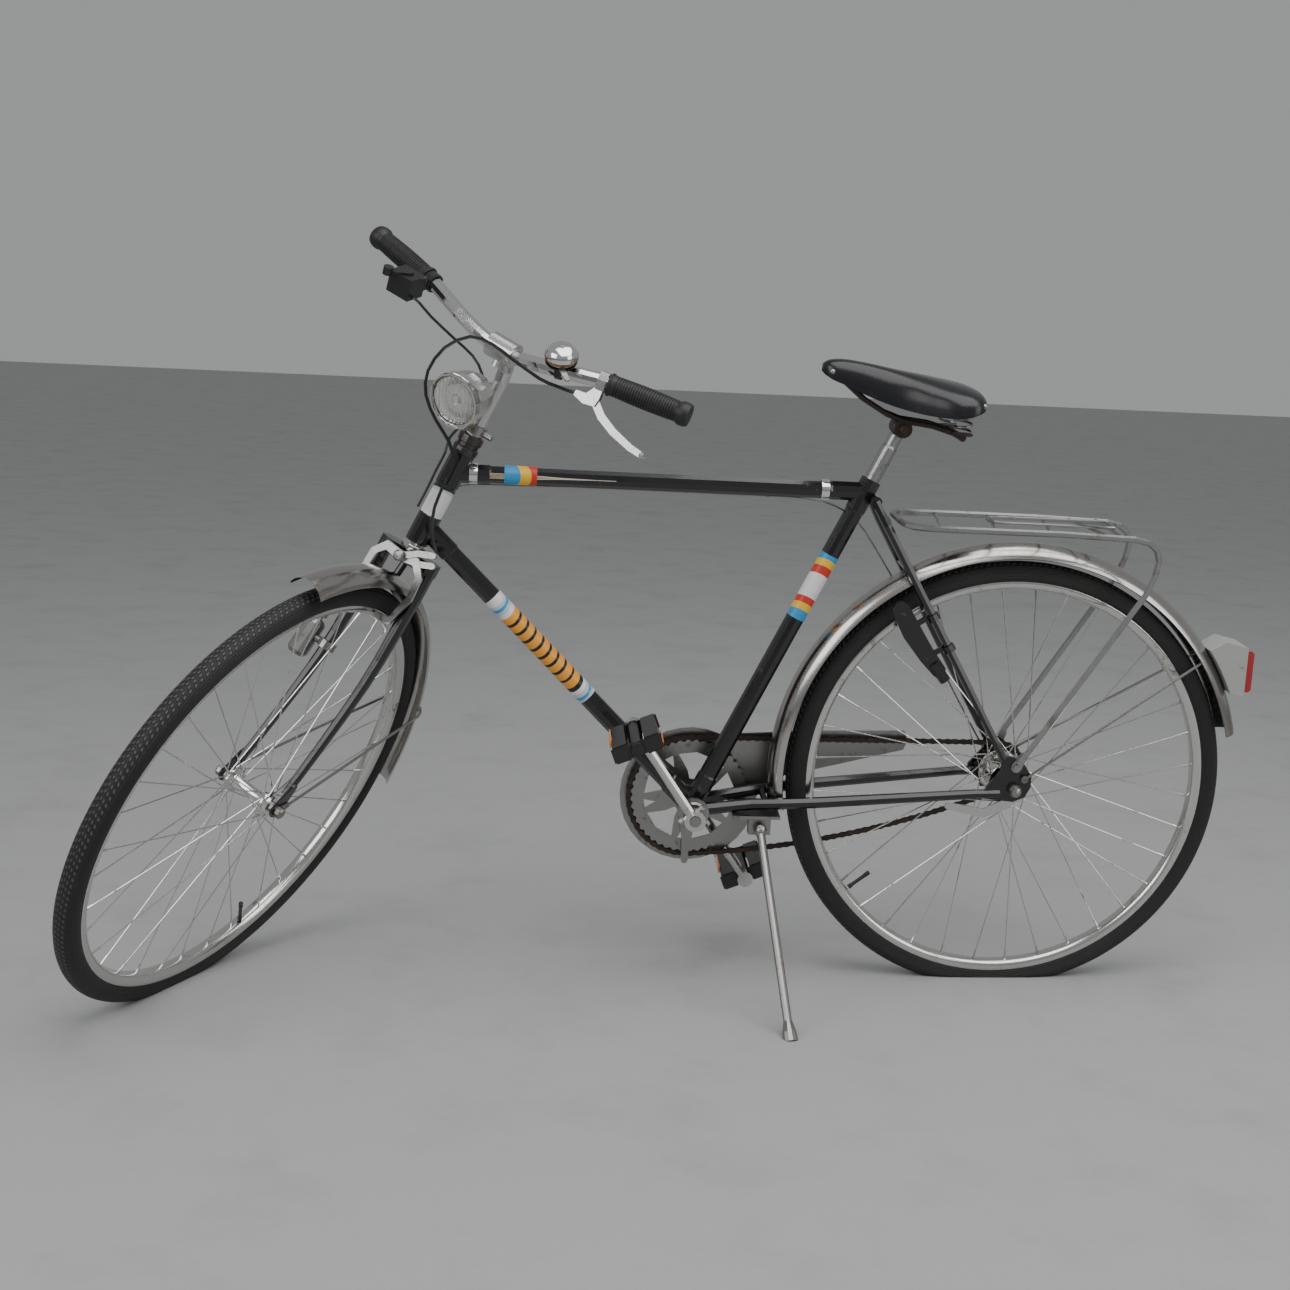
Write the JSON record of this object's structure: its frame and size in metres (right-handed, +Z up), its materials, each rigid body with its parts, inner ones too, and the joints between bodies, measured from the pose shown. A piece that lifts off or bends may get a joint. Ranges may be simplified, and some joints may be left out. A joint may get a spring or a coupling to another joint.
{
  "type": "city bicycle",
  "caption": "Upright city bicycle with metal fenders, rear carrier, chain guard, lamp and frame lock, leaning on its folded-out side stand with the bar turned.",
  "frame": {"origin": "centre of the rear tyre contact patch on the floor", "axes": "+Z up, +X from front to rear along the bicycle, +Y to the right-hand (chain) side"},
  "size_m": [1.7412, 0.6496, 1.1353],
  "materials": {
    "black_paint": "gloss, chipped and scuffed",
    "chrome": "polished, lightly pitted",
    "bright_chrome": "mirror polished",
    "dull_steel": "dull plated",
    "zinc": "matt zinc plate",
    "aluminium": "cast and tumbled",
    "rusty_steel": "brown surface rust",
    "dark_steel": "dark, semi-gloss",
    "tyre_rubber": "matt",
    "grip_rubber": "satin",
    "saddle_vinyl": "smooth vinyl cover",
    "black_plastic": "satin",
    "clear_glass": "clear, fluted",
    "red_lens": "translucent red",
    "grey_paint": "satin",
    "cable_black": "satin sheath",
    "cable_steel": "bare wire"
  },
  "bodies": {
    "frame": {"frame": "black_paint", "headset_lower_cup": "chrome", "bb_cup_left": "dull_steel", "kickstand_bracket": "dull_steel", "rear_axle": "dull_steel", "coaster_arm": "aluminium", "chain": "rusty_steel", "chain_guard": "dull_steel", "rack": "zinc", "tail_lamp_housing": "grey_paint", "tail_lamp_lens": "red_lens", "rear_fender": "chrome", "rear_fender_stay": "dull_steel", "frame_lock": "black_paint", "gear_cable_rear": "cable_steel"},
    "fork": {"fork": "black_paint", "headset_locknut": "dark_steel", "stem": "aluminium", "handlebar": "bright_chrome", "grip_left": "grip_rubber", "grip_right": "grip_rubber", "bell_base": "black_plastic", "bell_dome": "bright_chrome", "brake_lever_clamp": "aluminium", "shifter_body": "black_plastic", "headlamp_bracket": "dull_steel", "front_axle": "dull_steel", "front_fender": "chrome", "front_fender_stay": "dull_steel", "brake_pivot_bolt": "dull_steel", "dynamo": "dull_steel", "brake_cable": "cable_black", "gear_cable_front": "cable_black"},
    "front_wheel": {"front_hub": "chrome", "front_rim": "chrome", "front_tyre": "tyre_rubber"},
    "rear_wheel": {"rear_hub": "chrome", "rear_rim": "chrome", "rear_tyre": "tyre_rubber"},
    "rear_sprocket": {"rear_sprocket": "rusty_steel"},
    "crankset": {"bb_axle": "dull_steel", "chainring": "dull_steel", "crank_left": "chrome", "crank_right": "chrome"},
    "pedal_left": {"pedal_left": "black_plastic"},
    "pedal_right": {"pedal_right": "black_plastic"},
    "kickstand": {"kickstand_leg": "dull_steel"},
    "seat_post": {"seat_post": "zinc"},
    "saddle": {"saddle_cover": "saddle_vinyl", "saddle_frame": "rusty_steel", "saddle_spring_left": "dull_steel", "saddle_spring_right": "dull_steel"},
    "brake_lever": {"brake_lever": "aluminium"},
    "brake_arm_left": {"brake_arm_left": "aluminium"},
    "brake_arm_right": {"brake_arm_right": "aluminium"},
    "shifter_lever": {"shifter_lever": "black_plastic"},
    "bell_lever": {"bell_lever": "dull_steel"},
    "headlamp": {"headlamp_shell": "chrome", "headlamp_lens": "clear_glass"},
    "rack_clip": {"rack_clip": "zinc"}
  },
  "joints": [
    {"name": "steering", "type": "hinge", "parent": "frame", "child": "fork", "pos_m": [-0.92013, -0.04722, 0.67433], "axis": [0.4301, -0.063, 0.9006], "range_deg": [-131.4, 8.6]},
    {"name": "front_wheel_spin", "type": "hinge", "parent": "fork", "child": "front_wheel", "pos_m": [-1.14269, -0.10617, 0.30902], "axis": [0.7926, -0.4512, -0.4101], "continuous": true},
    {"name": "rear_wheel_spin", "type": "hinge", "parent": "frame", "child": "rear_wheel", "pos_m": [0, -0.02298, 0.3277], "axis": [0, -0.9976, -0.0698], "continuous": true},
    {"name": "crank_spin", "type": "hinge", "parent": "frame", "child": "crankset", "pos_m": [-0.49146, -0.01922, 0.27389], "axis": [0, -0.9976, -0.0698], "range_deg": [-110, 150]},
    {"name": "sprocket_spin", "type": "hinge", "parent": "frame", "child": "rear_sprocket", "pos_m": [0, 0.01991, 0.3307], "axis": [0, -0.9976, -0.0698], "range_deg": [-270, 368]},
    {"name": "pedal_left_spin", "type": "hinge", "parent": "crankset", "child": "pedal_left", "pos_m": [-0.59065, -0.14899, 0.40934], "axis": [0, -0.9976, -0.0698], "continuous": true},
    {"name": "pedal_right_spin", "type": "hinge", "parent": "crankset", "child": "pedal_right", "pos_m": [-0.39227, 0.11054, 0.13843], "axis": [0, -0.9976, -0.0698], "continuous": true},
    {"name": "kickstand_fold", "type": "hinge", "parent": "frame", "child": "kickstand", "pos_m": [-0.38815, -0.06352, 0.24788], "axis": [-0.0652, -0.7922, 0.6067], "range_deg": [0, 80]},
    {"name": "brake_lever_pull", "type": "hinge", "parent": "fork", "child": "brake_lever", "pos_m": [-0.67144, -0.16784, 0.90094], "axis": [-0.44, -0.8889, 0.1276], "range_deg": [0, 22], "stiffness_Nm_per_rad": 1, "springref_deg": -5.73},
    {"name": "brake_arm_left_close", "type": "hinge", "parent": "fork", "child": "brake_arm_left", "pos_m": [-0.93953, -0.06345, 0.6547], "axis": [0.4322, 0.8902, -0.1441], "range_deg": [0, 1.2]},
    {"name": "brake_arm_right_close", "type": "hinge", "parent": "fork", "child": "brake_arm_right", "pos_m": [-0.94182, -0.06817, 0.65546], "axis": [-0.4322, -0.8902, 0.1441], "range_deg": [0, 1.2]},
    {"name": "shifter_lever_turn", "type": "hinge", "parent": "fork", "child": "shifter_lever", "pos_m": [-0.94306, -0.05731, 1.0703], "axis": [0.2072, -0.4333, 0.8771], "range_deg": [-10, 25]},
    {"name": "bell_lever_push", "type": "hinge", "parent": "fork", "child": "bell_lever", "pos_m": [-0.72044, -0.18009, 0.94313], "axis": [0.0256, -0.6474, 0.7617], "range_deg": [0, 25], "stiffness_Nm_per_rad": 0.02, "springref_deg": -5.73},
    {"name": "headlamp_tilt", "type": "hinge", "parent": "fork", "child": "headlamp", "pos_m": [-0.85862, -0.10665, 0.85861], "axis": [0.7926, -0.4512, -0.4101], "range_deg": [-10, 10]},
    {"name": "seat_post_slide", "type": "slide", "parent": "frame", "child": "seat_post", "axis": [0.4301, -0.063, 0.9006], "range_m": [-0.008, 0.06]},
    {"name": "saddle_tilt", "type": "hinge", "parent": "seat_post", "child": "saddle", "pos_m": [-0.20519, -0.06114, 0.87332], "axis": [0, -0.9976, -0.0698], "range_deg": [-8, 8]},
    {"name": "rack_clip_lift", "type": "hinge", "parent": "frame", "child": "rack_clip", "pos_m": [0.13338, -0.05146, 0.73491], "axis": [0, 0.9976, 0.0698], "range_deg": [0, 100], "stiffness_Nm_per_rad": 0.3, "springref_deg": -11.46}
  ],
  "couplings": [
    {"joint": "sprocket_spin", "follows": "crank_spin", "ratio": 2.4444},
    {"joint": "brake_arm_left_close", "follows": "brake_lever_pull", "ratio": 0.054},
    {"joint": "brake_arm_right_close", "follows": "brake_lever_pull", "ratio": 0.054}
  ]
}
